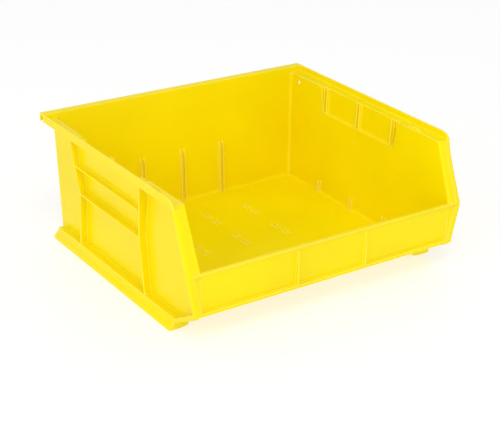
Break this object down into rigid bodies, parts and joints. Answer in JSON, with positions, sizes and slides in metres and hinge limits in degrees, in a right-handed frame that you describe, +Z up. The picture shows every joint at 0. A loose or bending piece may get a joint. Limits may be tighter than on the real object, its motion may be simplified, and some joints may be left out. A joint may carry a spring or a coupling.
{
  "type": "stackable storage bin",
  "caption": "Open hopper-front storage bin with side rims and ledges for stacking, foot rails, outside ribs, divider slots and a rear lip for hanging.",
  "frame": {"origin": "on the ground under the foot rails, at the middle of the bin's width and overall depth", "axes": "X runs across the bin's width, the hopper front faces -Y, the hanging lip is at +Y, and Z is up"},
  "size_m": [0.419, 0.375, 0.178],
  "materials": {
    "bin_plastic": "satin"
  },
  "bodies": {
    "root": {"floor_panel": "bin_plastic", "floor_front_slope": "bin_plastic", "floor_divider_marks": "bin_plastic", "back_wall": "bin_plastic", "hanging_lip": "bin_plastic", "back_divider_ribs": "bin_plastic", "left_rear_panel": "bin_plastic", "left_centre_panel": "bin_plastic", "left_label_panel": "bin_plastic", "left_front_panel": "bin_plastic", "right_rear_panel": "bin_plastic", "right_centre_panel": "bin_plastic", "right_label_panel": "bin_plastic", "right_front_panel": "bin_plastic", "left_stacking_ledge": "bin_plastic", "right_stacking_ledge": "bin_plastic", "left_rim": "bin_plastic", "right_rim": "bin_plastic", "left_stop_bar": "bin_plastic", "right_stop_bar": "bin_plastic", "left_front_flange": "bin_plastic", "right_front_flange": "bin_plastic", "left_corner_flange": "bin_plastic", "right_corner_flange": "bin_plastic", "hopper_wall": "bin_plastic", "hopper_top_bead": "bin_plastic", "hopper_foot_lip": "bin_plastic", "hopper_ribs": "bin_plastic", "left_foot_rail": "bin_plastic", "right_foot_rail": "bin_plastic", "left_slope_shelf": "bin_plastic", "right_slope_shelf": "bin_plastic", "left_upright_ribs": "bin_plastic", "right_upright_ribs": "bin_plastic", "left_cross_ribs": "bin_plastic", "right_cross_ribs": "bin_plastic", "left_upper_divider_ribs": "bin_plastic", "right_upper_divider_ribs": "bin_plastic", "left_lower_divider_ribs": "bin_plastic", "right_lower_divider_ribs": "bin_plastic"}
  },
  "joints": []
}
